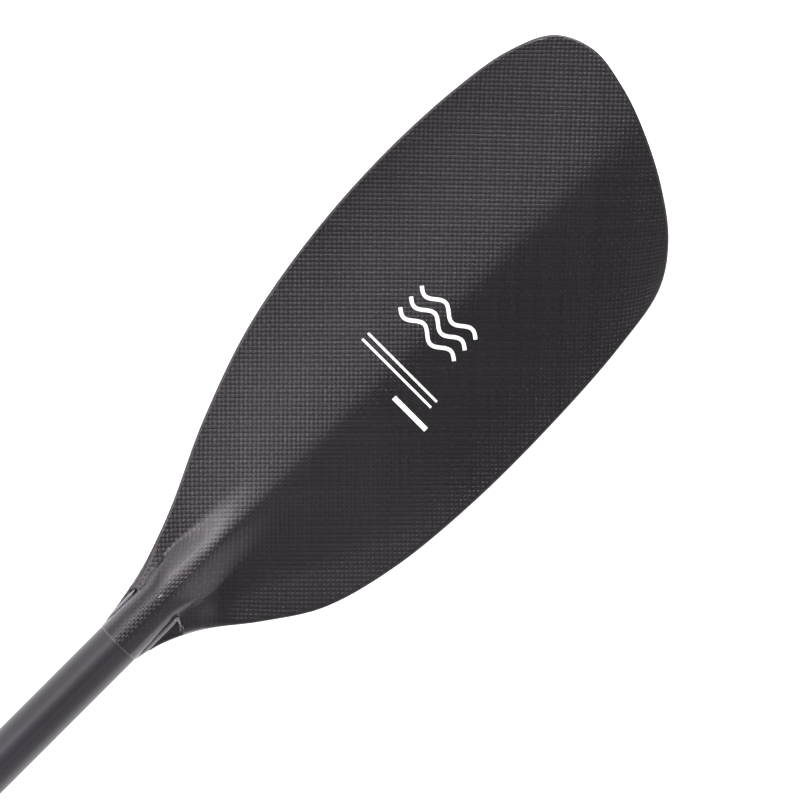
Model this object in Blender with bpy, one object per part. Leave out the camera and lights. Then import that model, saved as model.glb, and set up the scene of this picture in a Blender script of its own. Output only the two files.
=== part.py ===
"""Two-piece carbon kayak paddle with spooned, asymmetric foam-core blades.

The right half carries a male insert that slides and turns inside the left shaft.
A cam lever squeezes a slotted collar round the left shaft to lock both motions.

Frame: the shaft runs along X, +X points to the right-hand blade's tip, +Y to the blades'
longer edges and +Z is the side of the power faces. The blades' backs lie on the plane z = 0.
"""
import math

import bmesh
import bpy
from mathutils import Vector

MM = 0.001

# ---- driving dimensions, in millimetres ----
PADDLE_LENGTH = 1940.0        # tip to tip with the ferrule closed up
BLADE_LENGTH = 493.0          # socket mouth to tip
SHAFT_RADIUS = 15.25
SHAFT_WALL = 1.5
FIT_GAP = 0.3                 # between pieces that touch
BLADE_SKIN = 0.9              # laminate of one face of a blade
EDGE_HALF = 1.7               # half of a blade's thickness at its rim
NECK_RADIUS = 15.75           # outside of the blade's tubular neck
NECK_END = 36.0               # where the round neck starts to melt into the ridge
RIDGE_START = 50.0            # where only the ridge is left of it

INSERT_REACH = 165.0          # male insert beyond the joint
INSERT_BOND = 54.0            # and the length of it that is bonded inside the right shaft
RING_WIDTH = 6.0
RING_RADIUS = 17.5
COLLAR_RADIUS = 19.0
COLLAR_LENGTH = 34.0
STUD_RADIUS = 2.5
STUD_HEIGHT = 24.5            # stud and lever pivot above the shaft's axis
CAM_RADIUS = 6.8
CAM_OFFSET = 1.2
BARREL_RADIUS = 4.0
ROUND_SIDES = 32

# Outline of the right blade seen on its power face, from the long side of the socket round
# the tip to the short side: distance from the socket's mouth, then distance across.
OUTLINE = [
    (0, 15.9), (20, 18.6), (48, 24.8), (85, 38.3), (140, 64.0), (205, 87.2), (275, 100.0),
    (345, 104.3), (412, 101.0), (455, 93.2), (482, 79.3), (493, 55.0), (489, 24.0),
    (478, -7.5), (461, -40.6), (440, -68.5), (414, -86.8), (370, -95.3), (300, -100.2),
    (225, -100.0), (160, -93.2), (110, -79.0), (75, -56.5), (45, -33.5), (20, -21.0),
    (0, -15.9),
]
LONG_CORNER = 10              # outline points where the long side ends and the tip begins
SHORT_CORNER = 16             # and where the tip ends and the short side begins

# Shape along the blade: distance from the socket's mouth, then the value there.
# The middle surface dips as a spoon, falls away from its crest and lifts again at the rims.
SPOON = [(0, 0.0), (30, 0.0), (240, -19.0), (493, 6.0)]
EDGE_LIFT = [(46, 0.0), (150, 1.0), (300, 1.8), (493, 1.5)]      # at 100 mm from the crest
DIHEDRAL = [(46, 0.0), (120, 1.5), (250, 4.0), (493, 4.5)]      # fall at 100 mm from the crest
CREST_ROUND = 8.0
# The back swells a little; a short ridge runs on from the neck in front, a longer rib behind.
BELLY = [(60, 0.0), (150, 1.1), (260, 1.5), (400, 1.0), (493, 0.4)]
RIDGE_HEIGHT = [(36, 14.05), (48, 12.9), (60, 10.5), (75, 7.0), (95, 3.2), (120, 0.9), (150, 0.0)]
RIDGE_WIDTH = [(36, 16.0), (48, 17.2), (60, 18.5), (75, 19.0), (95, 19.0), (150, 20.0)]
RIDGE_FLARE = [(36, 0.5), (55, 0.56), (75, 1.1), (95, 1.9), (150, 2.0)]
RIB_HEIGHT = [(36, 14.05), (60, 11.6), (100, 6.6), (150, 2.8), (200, 0.7), (260, 0.1), (493, 0.1)]
RIB_WIDTH = [(36, 16.0), (60, 20.0), (100, 30.0), (200, 40.0), (493, 46.0)]
RIB_FLARE = [(36, 0.5), (60, 0.95), (100, 2.0)]
# The power face is a shallow roof over the middle surface.
ROOF_POWER = 1.2
ROOF_FLARE = 1.15
ROOF_HEIGHT = [(36, 0.0), (60, 1.5), (95, 3.4), (150, 4.6), (250, 4.5), (400, 3.0), (493, 0.5)]
ROOF_WIDTH = [(36, 20.0), (48, 24.0), (60, 28.0), (100, 44.0), (150, 67.0), (200, 84.0), (260, 96.0),
              (400, 90.0), (493, 80.0)]

# Grid of a blade's face: stations along it, and columns from the ridge out to the rim.
STATIONS = [0, 9, 18, 27, 36, 43, 50, 62, 78, 98, 124, 156, 194, 236, 280, 322, 360, 394, 420, 440, 448]
NECK_ANGLES = [0, 20, 40, 60, 75]
BLADE_COLUMNS = [0, 0.12, 0.27, 0.46, 0.69, 0.92, 1.0]
STRAIGHT_END = 150.0          # rows of the grid are square to the shaft up to here
TIP_START = 250.0             # and bend towards the curve of the tip from here on
CORE_ROW = 6                  # first station that the foam core fills
# Share of the grid's outermost cells that the edge band fills, narrow beside the steep ridge.
BAND_SHARE = [(0, 0.5), (18, 0.5), (36, 0.1), (78, 0.1), (124, 0.6)]

HALF_LENGTH = PADDLE_LENGTH / 2
MOUTH = HALF_LENGTH - BLADE_LENGTH
BORE = SHAFT_RADIUS - SHAFT_WALL
INSERT_RADIUS = BORE - FIT_GAP
INSERT_BORE = INSERT_RADIUS - SHAFT_WALL
RIGHT_SHAFT_END = RING_WIDTH + FIT_GAP
LEFT_SHAFT_END = -5.0
COLLAR_END = -FIT_GAP
CLAMP_MID = COLLAR_END - COLLAR_LENGTH / 2
COLLAR_BORE = SHAFT_RADIUS + FIT_GAP
EAR_FACE = 8.0
WASHER_THICKNESS = 2.0
PIVOT_Y = EAR_FACE + WASHER_THICKNESS + 2 * FIT_GAP + CAM_RADIUS + CAM_OFFSET
STUD_HOLE = STUD_RADIUS + FIT_GAP


# ---- scene, materials and mesh helpers ----

def clear_scene():
    for old in list(bpy.data.objects):
        bpy.data.objects.remove(old, do_unlink=True)


def material(name, colour, roughness, metallic=0.0):
    made = bpy.data.materials.new(name)
    made.use_nodes = True
    shader = made.node_tree.nodes["Principled BSDF"]
    shader.inputs["Base Color"].default_value = (*colour, 1.0)
    shader.inputs["Roughness"].default_value = roughness
    shader.inputs["Metallic"].default_value = metallic
    return made


def empty(name, parent=None, place=(0, 0, 0)):
    made = bpy.data.objects.new(name, None)
    made.location = Vector(place) * MM
    made.parent = parent
    bpy.context.collection.objects.link(made)
    return made


def solid(name, points, faces, finish, parent, place=(0, 0, 0)):
    """A closed mesh from points in millimetres, its faces turned outwards."""
    mesh = bpy.data.meshes.new(name)
    mesh.from_pydata([Vector(point) * MM for point in points], [], faces)
    work = bmesh.new()
    work.from_mesh(mesh)
    bmesh.ops.recalc_face_normals(work, faces=work.faces)
    work.to_mesh(mesh)
    work.free()
    mesh.shade_smooth()
    mesh.set_sharp_from_angle(angle=math.radians(35))
    made = bpy.data.objects.new(name, mesh)
    made.location = Vector(place) * MM
    made.parent = parent
    if finish is not None:
        mesh.materials.append(finish)
    bpy.context.collection.objects.link(made)
    return made


def turned(name, profile, finish, parent, ring=True, sides=ROUND_SIDES):
    """A solid turned about X from (x, radius) points; a ring's profile closes on itself."""
    points = []
    rows = []
    for x, radius in profile:
        count = sides if radius > 0 else 1
        rows.append(list(range(len(points), len(points) + count)))
        for step in range(count):
            angle = 2 * math.pi * step / sides
            points.append((x, radius * math.cos(angle), radius * math.sin(angle)))
    pairs = list(zip(rows, rows[1:]))
    if ring:
        pairs.append((rows[-1], rows[0]))
    faces = []
    for first, second in pairs:
        for step in range(sides):
            after = (step + 1) % sides
            corners = [first[step % len(first)], first[after % len(first)],
                       second[after % len(second)], second[step % len(second)]]
            faces.append(list(dict.fromkeys(corners)))
    return solid(name, points, faces, finish, parent)


def block(name, low, high, finish=None, parent=None):
    corners = [(x, y, z) for x in (low[0], high[0]) for y in (low[1], high[1]) for z in (low[2], high[2])]
    faces = [(0, 1, 3, 2), (4, 6, 7, 5), (0, 4, 5, 1), (2, 3, 7, 6), (0, 2, 6, 4), (1, 5, 7, 3)]
    return solid(name, corners, faces, finish, parent)


def prism(name, axis, outline, start, end, finish=None, parent=None, place=(0, 0, 0)):
    """An outline in the plane across X or Y, extruded along that axis."""
    def lift(point, level):
        if axis == "X":
            return (level, point[0], point[1])
        return (point[0], level, point[1])
    count = len(outline)
    points = [lift(point, start) for point in outline] + [lift(point, end) for point in outline]
    faces = [list(range(count)), list(range(count, 2 * count))]
    for step in range(count):
        after = (step + 1) % count
        faces.append((step, after, count + after, count + step))
    return solid(name, points, faces, finish, parent, place)


def arc(centre, radius, first_deg, last_deg, steps):
    angles = [math.radians(first_deg + (last_deg - first_deg) * step / steps) for step in range(steps + 1)]
    return [(centre[0] + radius * math.cos(a), centre[1] + radius * math.sin(a)) for a in angles]


def circle(centre, radius, sides):
    return arc(centre, radius, 0, 360, sides)[:-1]


def combine(target, tool, operation):
    """Cut a hidden tool out of the target, or join it on."""
    cut = target.modifiers.new(operation.lower() + "_" + tool.name, "BOOLEAN")
    cut.operation = operation
    cut.solver = "EXACT"
    cut.object = tool
    tool.hide_render = True
    tool.display_type = "WIRE"
    tool.parent = target


def round_edges(target, width, segments=1):
    bevel = target.modifiers.new("edges", "BEVEL")
    bevel.width = width * MM
    bevel.segments = segments
    bevel.limit_method = "ANGLE"
    bevel.angle_limit = math.radians(50)


# ---- curves ----

def along(table, place):
    """Value of a table of (place, value) points, joined by a curve that never overshoots."""
    if place <= table[0][0]:
        return table[0][1]
    if place >= table[-1][0]:
        return table[-1][1]
    slopes = [(b[1] - a[1]) / (b[0] - a[0]) for a, b in zip(table, table[1:])]
    tangents = [slopes[0]]
    for before, after in zip(slopes, slopes[1:]):
        tangents.append(0.0 if before * after <= 0 else 2 * before * after / (before + after))
    tangents.append(slopes[-1])
    span = max(index for index in range(len(slopes)) if table[index][0] <= place)
    width = table[span + 1][0] - table[span][0]
    u = (place - table[span][0]) / width
    start, end = table[span][1], table[span + 1][1]
    return (start * (1 + 2 * u) * (1 - u) ** 2 + end * u * u * (3 - 2 * u)
            + tangents[span] * width * u * (1 - u) ** 2 - tangents[span + 1] * width * u * u * (1 - u))


def ease(value, low, high):
    share = min(max((value - low) / (high - low), 0.0), 1.0)
    return share * share * (3 - 2 * share)


def spline(points, steps=10):
    """Centripetal Catmull-Rom curve through the points."""
    points = [Vector(point) for point in points]
    points = [2 * points[0] - points[1]] + points + [2 * points[-1] - points[-2]]
    curve = []
    for a, b, c, d in zip(points, points[1:], points[2:], points[3:]):
        t1 = math.sqrt((b - a).length)
        t2 = t1 + math.sqrt((c - b).length)
        t3 = t2 + math.sqrt((d - c).length)
        for step in range(steps):
            t = t1 + (t2 - t1) * step / steps
            ab = a.lerp(b, t / t1)
            bc = b.lerp(c, (t - t1) / (t2 - t1))
            cd = c.lerp(d, (t - t2) / (t3 - t2))
            curve.append(ab.lerp(bc, t / t2).lerp(bc.lerp(cd, (t - t1) / (t3 - t1)), (t - t1) / (t2 - t1)))
    return curve + [points[-2]]


STEPS = 10
RIM = spline(OUTLINE, STEPS)
LONG_SIDE = RIM[:LONG_CORNER * STEPS + 1]
TIP = RIM[LONG_CORNER * STEPS:SHORT_CORNER * STEPS + 1][::-1]
SHORT_SIDE = RIM[SHORT_CORNER * STEPS:][::-1]


def rim_at(side, station):
    """Point of one side of the outline at a distance from the socket."""
    for first, second in zip(side, side[1:]):
        if second.x >= station:
            return first.lerp(second, (station - first.x) / (second.x - first.x))
    return side[-1]


def tip_at(share):
    """Point of the tip's curve at a share of its length, from the short side."""
    lengths = [(second - first).length for first, second in zip(TIP, TIP[1:])]
    left = share * sum(lengths)
    for first, second, length in zip(TIP, TIP[1:], lengths):
        if left <= length:
            return first.lerp(second, left / length)
        left -= length
    return TIP[-1]


# ---- the blade's surfaces ----

def middle(station, across):
    """Height of the blade's middle surface: its spoon, a shallow roof shape and lifted rims."""
    lift = along(EDGE_LIFT, station) * abs(across / 100) ** 3
    fall = along(DIHEDRAL, station) * (math.hypot(across, CREST_ROUND) - CREST_ROUND) / 100
    return along(SPOON, station) + lift - fall


def crown(station, across, inset, height, width, flare, swell):
    """Thickness of one face above the middle surface: a round neck, then a ridge and a swell."""
    rim = EDGE_HALF - inset
    radius = NECK_RADIUS - inset
    neck = max(math.sqrt(max(radius ** 2 - across ** 2, 0)), rim)
    share = min(abs(across) / along(width, station), 1)
    ridge = rim + swell + along(height, station) * (1 - share ** 2) ** along(flare, station)
    return neck + (ridge - neck) * ease(station, NECK_END, RIDGE_START)


def power_face(station, across, inset):
    """Height of the front: ridge and roof over the middle surface."""
    share = min(abs(across) / along(ROOF_WIDTH, station), 1)
    roof = along(ROOF_HEIGHT, station) * (1 - share ** ROOF_POWER) ** ROOF_FLARE
    rise = crown(station, across, inset, RIDGE_HEIGHT, RIDGE_WIDTH, RIDGE_FLARE, roof)
    return middle(station, across) + rise


def back_face(station, across, inset):
    """Height of the back: rib and belly under the middle surface."""
    share = min(abs(across) / along(ROOF_WIDTH, station), 1)
    belly = along(BELLY, station) * math.sin(math.pi * share) ** 2
    rise = crown(station, across, inset, RIB_HEIGHT, RIB_WIDTH, RIB_FLARE, belly)
    return middle(station, across) - rise


def column_shares(station, reach, inset):
    """Columns from ridge to rim: on the neck they follow its circle, on the blade its width."""
    radius = NECK_RADIUS - inset * (1 - ease(station, NECK_END, RIDGE_START))
    foot = math.degrees(math.acos((EDGE_HALF - inset) / radius))
    neck = [radius * math.sin(math.radians(angle)) / reach for angle in NECK_ANGLES + [foot]] + [1.0]
    blend = ease(station, NECK_END, 110)
    return [tube + (flat - tube) * blend for tube, flat in zip(neck, BLADE_COLUMNS)]


def face_grid(face, inset, direction):
    """Rows of points of one face of the blade, inset from its outer surface."""
    last = STATIONS[-1]
    long_end, short_end = LONG_SIDE[-1], SHORT_SIDE[-1]
    spread = long_end.x - last
    grid = []
    for station in STATIONS:
        turn = max((station - STRAIGHT_END) / (last - STRAIGHT_END), 0) ** 2
        long_rim = rim_at(LONG_SIDE, station + spread * turn)
        short_rim = rim_at(SHORT_SIDE, station - spread * turn)
        bend = max((station - TIP_START) / (last - TIP_START), 0) ** 2
        ridge = -short_rim.y / (long_rim.y - short_rim.y)
        short_shares = column_shares(station, -short_rim.y, inset)
        long_shares = column_shares(station, long_rim.y, inset)
        shares = [ridge - ridge * share for share in reversed(short_shares[1:])]
        shares += [ridge + (1 - ridge) * share for share in long_shares]
        row = []
        for share in shares:
            place = short_rim.lerp(long_rim, share)
            place += bend * (tip_at(share) - short_end.lerp(long_end, share))
            row.append((direction * (MOUTH + place.x), place.y, face(place.x, place.y, inset)))
        grid.append(row)
    return grid


def sheet_solid(name, outer, inner, finish, parent):
    """Closed solid between two grids of the same size."""
    rows, columns = len(outer), len(outer[0])
    points = [point for grid in (outer, inner) for row in grid for point in row]
    below = rows * columns

    def at(row, column, level=0):
        return row * columns + column + level

    faces = []
    for row in range(rows - 1):
        for column in range(columns - 1):
            for level in (0, below):
                near, far = at(row, column, level), at(row + 1, column + 1, level)
                faces.append((near, at(row + 1, column, level), far))
                faces.append((near, far, at(row, column + 1, level)))
    border = [(0, column) for column in range(columns)]
    border += [(row, columns - 1) for row in range(1, rows)]
    border += [(rows - 1, column) for column in range(columns - 2, -1, -1)]
    border += [(row, 0) for row in range(rows - 2, 0, -1)]
    for first, second in zip(border, border[1:] + border[:1]):
        faces.append((at(*first), at(*second), at(*second, below), at(*first, below)))
    return solid(name, points, faces, finish, parent)


def edge_band(name, top, bottom, finish, parent):
    """Strip between the skins, along both sides and round the tip, open at the neck."""
    last_row, last_column = len(top) - 1, len(top[0]) - 1
    route = [((row, 0), (row, 1)) for row in range(last_row)]
    route += [((last_row, 0), (last_row - 1, 1))]
    route += [((last_row, column), (last_row - 1, column)) for column in range(1, last_column)]
    route += [((last_row, last_column), (last_row - 1, last_column - 1))]
    route += [((row, last_column), (row, last_column - 1)) for row in range(last_row - 1, -1, -1)]
    points = []
    for rim, inside in route:
        for grid in (top, bottom):
            outer = Vector(grid[rim[0]][rim[1]])
            inner = outer.lerp(Vector(grid[inside[0]][inside[1]]), along(BAND_SHARE, STATIONS[rim[0]]))
            points += [outer, inner] if grid is top else [inner, outer]
    faces = [(0, 1, 2, 3), tuple(range(len(points) - 4, len(points)))]
    for step in range(len(route) - 1):
        for corner in range(4):
            after = (corner + 1) % 4
            faces.append((4 * step + corner, 4 * step + after, 4 * step + 4 + after, 4 * step + 4 + corner))
    return solid(name, points, faces, finish, parent)


# ---- pieces ----

def blade(side, direction, parent, finishes):
    """One blade: two skins, the foam between them, a rim band and the spigot in its neck."""
    for face, label in ((power_face, "power_face"), (back_face, "back_face")):
        outer = face_grid(face, 0, direction)
        inner = face_grid(face, BLADE_SKIN, direction)
        sheet_solid(side + "_" + label, outer, inner, finishes["weave"], parent)
    top = face_grid(power_face, BLADE_SKIN + FIT_GAP, direction)
    bottom = face_grid(back_face, BLADE_SKIN + FIT_GAP, direction)
    core_top = [row[1:-1] for row in top[CORE_ROW:-1]]
    core_bottom = [row[1:-1] for row in bottom[CORE_ROW:-1]]
    sheet_solid(side + "_foam_core", core_top, core_bottom, finishes["foam"], parent)
    band_inset = BLADE_SKIN + 1.5 * FIT_GAP
    band_top = face_grid(power_face, band_inset, direction)
    band_bottom = face_grid(back_face, band_inset, direction)
    edge_band(side + "_edge_band", band_top, band_bottom, finishes["edge"], parent)
    neck_spigot = NECK_RADIUS - BLADE_SKIN - 2 * FIT_GAP
    profile = [(MOUTH - 45, 11.5), (MOUTH - 45, INSERT_RADIUS), (MOUTH + FIT_GAP, INSERT_RADIUS),
               (MOUTH + FIT_GAP, neck_spigot), (MOUTH + 33, neck_spigot), (MOUTH + 33, 11.5)]
    turned(side + "_neck_spigot", [(direction * x, r) for x, r in profile], finishes["inner"], parent)


def tube(name, start, end, outer, inner, finish, parent):
    profile = [(start, inner), (start, outer), (end, outer), (end, inner)]
    return turned(name, profile, finish, parent)


def plug(name, start, end, radius, finish, parent):
    profile = [(start, 0), (start, radius), (end, radius), (end, 0)]
    return turned(name, profile, finish, parent, ring=False, sides=24)


def right_half(parent, finishes):
    blade("right", 1, parent, finishes)
    tube("right_shaft", RIGHT_SHAFT_END, MOUTH - FIT_GAP, SHAFT_RADIUS, BORE, finishes["shaft"], parent)
    insert = tube("ferrule_insert", -INSERT_REACH, RIGHT_SHAFT_END + INSERT_BOND,
                  INSERT_RADIUS, INSERT_BORE, finishes["inner"], parent)
    groove = block("key_groove", (-INSERT_REACH - 5, -1.5, -INSERT_RADIUS - 1),
                   (RIGHT_SHAFT_END - 0.1, 1.5, -INSERT_RADIUS + 0.9))
    combine(insert, groove, "DIFFERENCE")
    head = -INSERT_REACH - FIT_GAP
    cap = [(head, 0), (head, INSERT_RADIUS), (head - 4, INSERT_RADIUS), (head - 8, INSERT_RADIUS - 2.5),
           (head - 8, 0)]
    turned("insert_end_cap", cap, finishes["nylon"], parent, ring=False)
    plug("insert_foam_plug", -150, -115, INSERT_BORE - FIT_GAP, finishes["foam"], parent)


def feather_ring(parent, finishes):
    """Scale ring keyed to the insert's groove and snapped into the collar's mouth."""
    inner = INSERT_RADIUS + FIT_GAP
    profile = [(-4.2, inner), (-4.2, 16.2), (-2.4, 16.2), (-2.4, 15.2), (0, 15.2),
               (0, RING_RADIUS - 0.6), (0.6, RING_RADIUS), (RING_WIDTH - 0.6, RING_RADIUS),
               (RING_WIDTH, RING_RADIUS - 0.6), (RING_WIDTH, inner)]
    ring = turned("feather_ring", profile, finishes["nylon"], parent)
    key = block("ring_key", (-4.1, -1.2, -inner - 0.6), (RING_WIDTH - 0.1, 1.2, -INSERT_RADIUS + 0.6))
    combine(ring, key, "UNION")


def left_half(parent, finishes):
    blade("left", -1, parent, finishes)
    shaft = tube("left_shaft", -MOUTH + FIT_GAP, LEFT_SHAFT_END, SHAFT_RADIUS, BORE,
                 finishes["shaft"], parent)
    slit = block("shaft_slit", (-46, -1.2, 5), (0, 1.2, SHAFT_RADIUS + 5))
    combine(shaft, slit, "DIFFERENCE")
    plug("left_bulkhead_plug", -235, -200, BORE - FIT_GAP, finishes["foam"], parent)
    collar(parent, finishes)
    fasteners(parent, finishes)


def collar(parent, finishes):
    """Slotted clamp collar: a ring with two ears on top and a flat pad underneath."""
    start = COLLAR_END - COLLAR_LENGTH
    chamfer = 1.0
    profile = [(start, COLLAR_BORE), (start, COLLAR_RADIUS - chamfer), (start + chamfer, COLLAR_RADIUS),
               (COLLAR_END - chamfer, COLLAR_RADIUS), (COLLAR_END, COLLAR_RADIUS - chamfer),
               (COLLAR_END, COLLAR_BORE), (-2.0, COLLAR_BORE), (-2.0, 16.6), (-4.6, 16.6),
               (-4.6, COLLAR_BORE)]
    ring = turned("clamp_collar", profile, finishes["nylon"], parent)
    half_width = 9.5
    top = STUD_HEIGHT + 6.5
    ears = prism("clamp_ears", "Y", [(CLAMP_MID - half_width, 16.4), (CLAMP_MID + half_width, 16.4)]
                 + arc((CLAMP_MID, top - half_width), half_width, 0, 180, 10), -EAR_FACE, EAR_FACE)
    pad = block("clamp_pad", (CLAMP_MID - 11, -9, -19.5), (CLAMP_MID + 11, 9, -16.3))
    slot = block("clamp_slot", (start - 5, -1.5, 10), (5, 1.5, top + 5))
    hole = prism("stud_hole", "Y", circle((CLAMP_MID, STUD_HEIGHT), STUD_HOLE, 20), -20, 20)
    combine(ring, ears, "UNION")
    combine(ring, pad, "UNION")
    combine(ring, slot, "DIFFERENCE")
    combine(ring, hole, "DIFFERENCE")


def fasteners(parent, finishes):
    """Cross stud, adjusting nut, washer and the barrel that the lever turns on."""
    nut_face = -EAR_FACE - FIT_GAP
    prism("tension_stud", "Y", circle((CLAMP_MID, STUD_HEIGHT), STUD_RADIUS, 20),
          nut_face - 8, PIVOT_Y + BARREL_RADIUS + 0.6, finishes["steel"], parent)
    nut = prism("adjusting_nut", "Y", circle((CLAMP_MID, STUD_HEIGHT), 6.2, 18),
                nut_face - 7, nut_face, finishes["alloy"], parent)
    nut_hole = prism("nut_hole", "Y", circle((CLAMP_MID, STUD_HEIGHT), STUD_HOLE, 20), -30, 0)
    round_edges(nut, 0.6)
    combine(nut, nut_hole, "DIFFERENCE")
    washer_start = EAR_FACE + FIT_GAP
    washer = block("cam_washer", (CLAMP_MID - 8.5, washer_start, STUD_HEIGHT - 6.3),
                   (CLAMP_MID + 8.5, washer_start + WASHER_THICKNESS, STUD_HEIGHT + 6.3),
                   finishes["steel"], parent)
    washer_hole = prism("washer_hole", "Y", circle((CLAMP_MID, STUD_HEIGHT), STUD_HOLE, 20), 0, 30)
    combine(washer, washer_hole, "DIFFERENCE")
    barrel = prism("lever_barrel", "X", circle((PIVOT_Y, STUD_HEIGHT), BARREL_RADIUS, 24),
                   CLAMP_MID - 8.8, CLAMP_MID + 8.8, finishes["alloy"], parent)
    barrel_hole = prism("barrel_hole", "Y", circle((CLAMP_MID, STUD_HEIGHT), STUD_HOLE, 20), 0, 40)
    combine(barrel, barrel_hole, "DIFFERENCE")


def lever(parent, finishes):
    """Cam lever: two cams on the barrel, and a handle that hugs the collar when closed."""
    inner, outer = COLLAR_RADIUS + 1.3, COLLAR_RADIUS + 5.0
    outline = [(17.9, -15.2), (20.6, -15.6)]
    outline += arc((0, 0), outer, -31, 20, 5)
    outline += arc((PIVOT_Y - CAM_OFFSET, STUD_HEIGHT), CAM_RADIUS, -20, 215, 16)
    outline += arc((0, 0), inner, 47, -36, 7)
    local = [(y - PIVOT_Y, z - STUD_HEIGHT) for y, z in outline]
    handle = prism("clamp_lever", "X", local, -8.5, 8.5, finishes["nylon"], parent)
    round_edges(handle, 0.7)
    slot = block("lever_slot", (-3.4, -12, -7), (3.4, 12, 12))
    hole = prism("lever_hole", "X", circle((0, 0), BARREL_RADIUS + FIT_GAP, 24), -12, 12)
    combine(handle, slot, "DIFFERENCE")
    combine(handle, hole, "DIFFERENCE")


def build():
    clear_scene()
    finishes = {
        "weave": material("carbon_weave", (0.055, 0.048, 0.055), 0.32),
        "shaft": material("carbon_shaft", (0.075, 0.065, 0.075), 0.42),
        "inner": material("carbon_inner", (0.035, 0.033, 0.036), 0.45),
        "foam": material("rigid_foam", (0.75, 0.68, 0.45), 0.9),
        "edge": material("resin_edge", (0.03, 0.027, 0.03), 0.4),
        "nylon": material("filled_nylon", (0.03, 0.03, 0.032), 0.55),
        "alloy": material("anodised_aluminium", (0.12, 0.12, 0.125), 0.35, 1.0),
        "steel": material("stainless_steel", (0.55, 0.54, 0.52), 0.3, 1.0),
    }
    lowest = min(point[2] for row in face_grid(back_face, 0, 1) for point in row)
    paddle = empty("paddle", None, (0, 0, -lowest))
    slide_axis = empty("slide_axis", paddle)
    feather_axis = empty("feather_axis", slide_axis)
    lever_axis = empty("lever_axis", feather_axis, (CLAMP_MID, PIVOT_Y, STUD_HEIGHT))
    right_half(paddle, finishes)
    feather_ring(slide_axis, finishes)
    left_half(feather_axis, finishes)
    lever(lever_axis, finishes)


build()
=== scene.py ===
# %% [markdown]
# # A carbon kayak paddle
# This notebook dresses the working model of a two-piece carbon paddle. The frame already knows
# every piece, size and joint. Here the blades get their true smooth surface, the cloth gets its
# weave, and the ferrule gets its moulded and turned parts. Lengths in tables are millimetres.

# %% Load the frame
import math

import bmesh
import bpy
from mathutils import Matrix, Vector
from mathutils.kdtree import KDTree


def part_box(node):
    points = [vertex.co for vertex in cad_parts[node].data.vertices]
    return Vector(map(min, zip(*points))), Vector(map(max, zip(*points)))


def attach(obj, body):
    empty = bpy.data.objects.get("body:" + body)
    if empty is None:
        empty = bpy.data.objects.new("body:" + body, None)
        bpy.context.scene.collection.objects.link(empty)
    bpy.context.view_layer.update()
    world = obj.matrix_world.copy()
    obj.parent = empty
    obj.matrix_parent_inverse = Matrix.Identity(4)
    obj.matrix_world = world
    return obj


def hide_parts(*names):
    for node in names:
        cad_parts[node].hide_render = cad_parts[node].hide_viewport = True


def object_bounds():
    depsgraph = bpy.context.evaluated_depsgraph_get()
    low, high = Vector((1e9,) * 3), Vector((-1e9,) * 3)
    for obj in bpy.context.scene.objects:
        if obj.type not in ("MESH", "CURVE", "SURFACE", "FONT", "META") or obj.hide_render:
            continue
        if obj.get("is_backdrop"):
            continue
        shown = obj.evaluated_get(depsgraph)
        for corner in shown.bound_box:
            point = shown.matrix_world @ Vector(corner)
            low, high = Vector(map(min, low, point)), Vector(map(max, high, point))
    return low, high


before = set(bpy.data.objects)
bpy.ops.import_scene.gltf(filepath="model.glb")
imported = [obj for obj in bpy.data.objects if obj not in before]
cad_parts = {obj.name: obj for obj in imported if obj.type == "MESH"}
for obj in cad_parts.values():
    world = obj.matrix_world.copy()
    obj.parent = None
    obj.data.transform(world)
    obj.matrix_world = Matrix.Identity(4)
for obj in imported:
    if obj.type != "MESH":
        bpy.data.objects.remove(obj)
cad_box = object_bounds()
MM = 0.001
print("pieces in the frame:", len(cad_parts))

# %% [markdown]
# The paddle's own landmarks come from the frame: where the shaft's axis is, where a blade's neck
# begins, and how thick the shaft is. Everything below is placed from these.

# %% Landmarks
shaft_low, shaft_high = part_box("right_shaft")
AXIS_Z = (shaft_low.z + shaft_high.z) / 2
SHAFT_RADIUS = (shaft_high.z - shaft_low.z) / 2 / MM
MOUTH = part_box("right_power_face")[0].x / MM
HANDS = (("right", 1), ("left", -1))  # the left half is the right one's mirror image
print("axis height", round(AXIS_Z / MM, 2))
print("shaft radius", round(SHAFT_RADIUS, 2), "mouth", round(MOUTH, 1))

# %% [markdown]
# The camera looks straight down on the right blade's power face from two metres with a long
# lens, so the outline is hardly distorted. It is turned so that the shaft runs to the lower
# left corner of the view.

# %% Camera
VIEW_WIDTH = 0.5246
VIEW_CENTRE = Vector((MOUTH * MM + 0.2417, -0.018, AXIS_Z - 0.004))

camera_data = bpy.data.cameras.new("camera")
camera_data.sensor_width = 36
camera_data.lens = 135
camera = bpy.data.objects.new("camera", camera_data)
bpy.context.collection.objects.link(camera)
camera_height = VIEW_WIDTH * camera_data.lens / camera_data.sensor_width
camera.location = VIEW_CENTRE + Vector((0, 0, camera_height))
camera.rotation_euler = (0, 0, math.radians(-45))
bpy.context.scene.camera = camera
print("camera height", round(camera_height, 3))

# %% [markdown]
# A few helpers serve every finish. One turns a hex colour, as read off a screen, into the linear
# values that light adds up in. One adds a shader node with its settings and links, and the rest
# use it: a mix of two colours, a noise, a relief, and the links into a material's shader.

# %% Colour and node helpers
def colour(hex_code):
    """Linear RGBA of an sRGB hex colour."""
    channels = [int(hex_code[i:i + 2], 16) / 255 for i in (1, 3, 5)]
    linear = [c / 12.92 if c <= 0.04045 else ((c + 0.055) / 1.055) ** 2.4 for c in channels]
    return (*linear, 1.0)


def add(tree, kind, inputs=None, **settings):
    """A node of one kind, its properties set, its sockets given values or links."""
    made = tree.nodes.new(kind)
    for name, value in settings.items():
        setattr(made, name, value)
    for socket, value in (inputs or {}).items():
        if isinstance(value, bpy.types.NodeSocket):
            tree.links.new(value, made.inputs[socket])
        else:
            made.inputs[socket].default_value = value
    return made


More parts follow.
